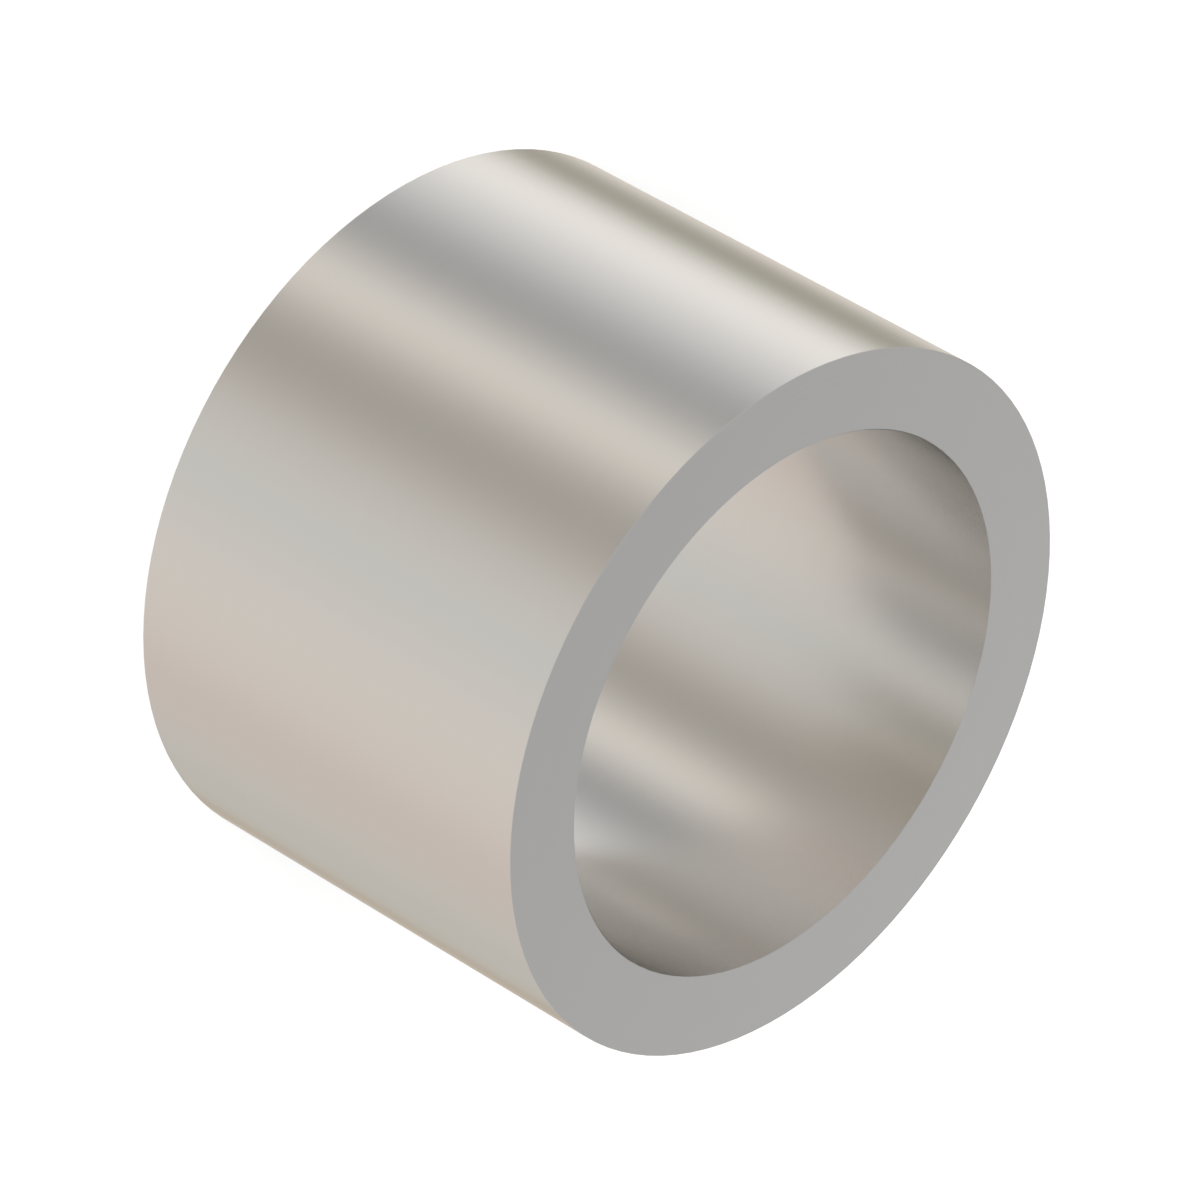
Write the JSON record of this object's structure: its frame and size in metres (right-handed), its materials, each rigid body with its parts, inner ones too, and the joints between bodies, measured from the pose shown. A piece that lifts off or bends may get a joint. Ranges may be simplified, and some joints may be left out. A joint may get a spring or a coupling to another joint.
{
  "type": "sleeve bushing",
  "caption": "Plain cylindrical sleeve bushing with a through bore, square end faces and lightly broken edges.",
  "frame": {"origin": "centre of the lower end face, on the bore axis", "axes": "+Z along the bore axis, from the lower end face to the upper one; X and Y are free, as the sleeve is round"},
  "size_m": [0.022, 0.022, 0.015],
  "materials": {
    "satin_steel": "satin, fine turned"
  },
  "bodies": {
    "root": {"sleeve": "satin_steel"}
  },
  "joints": []
}
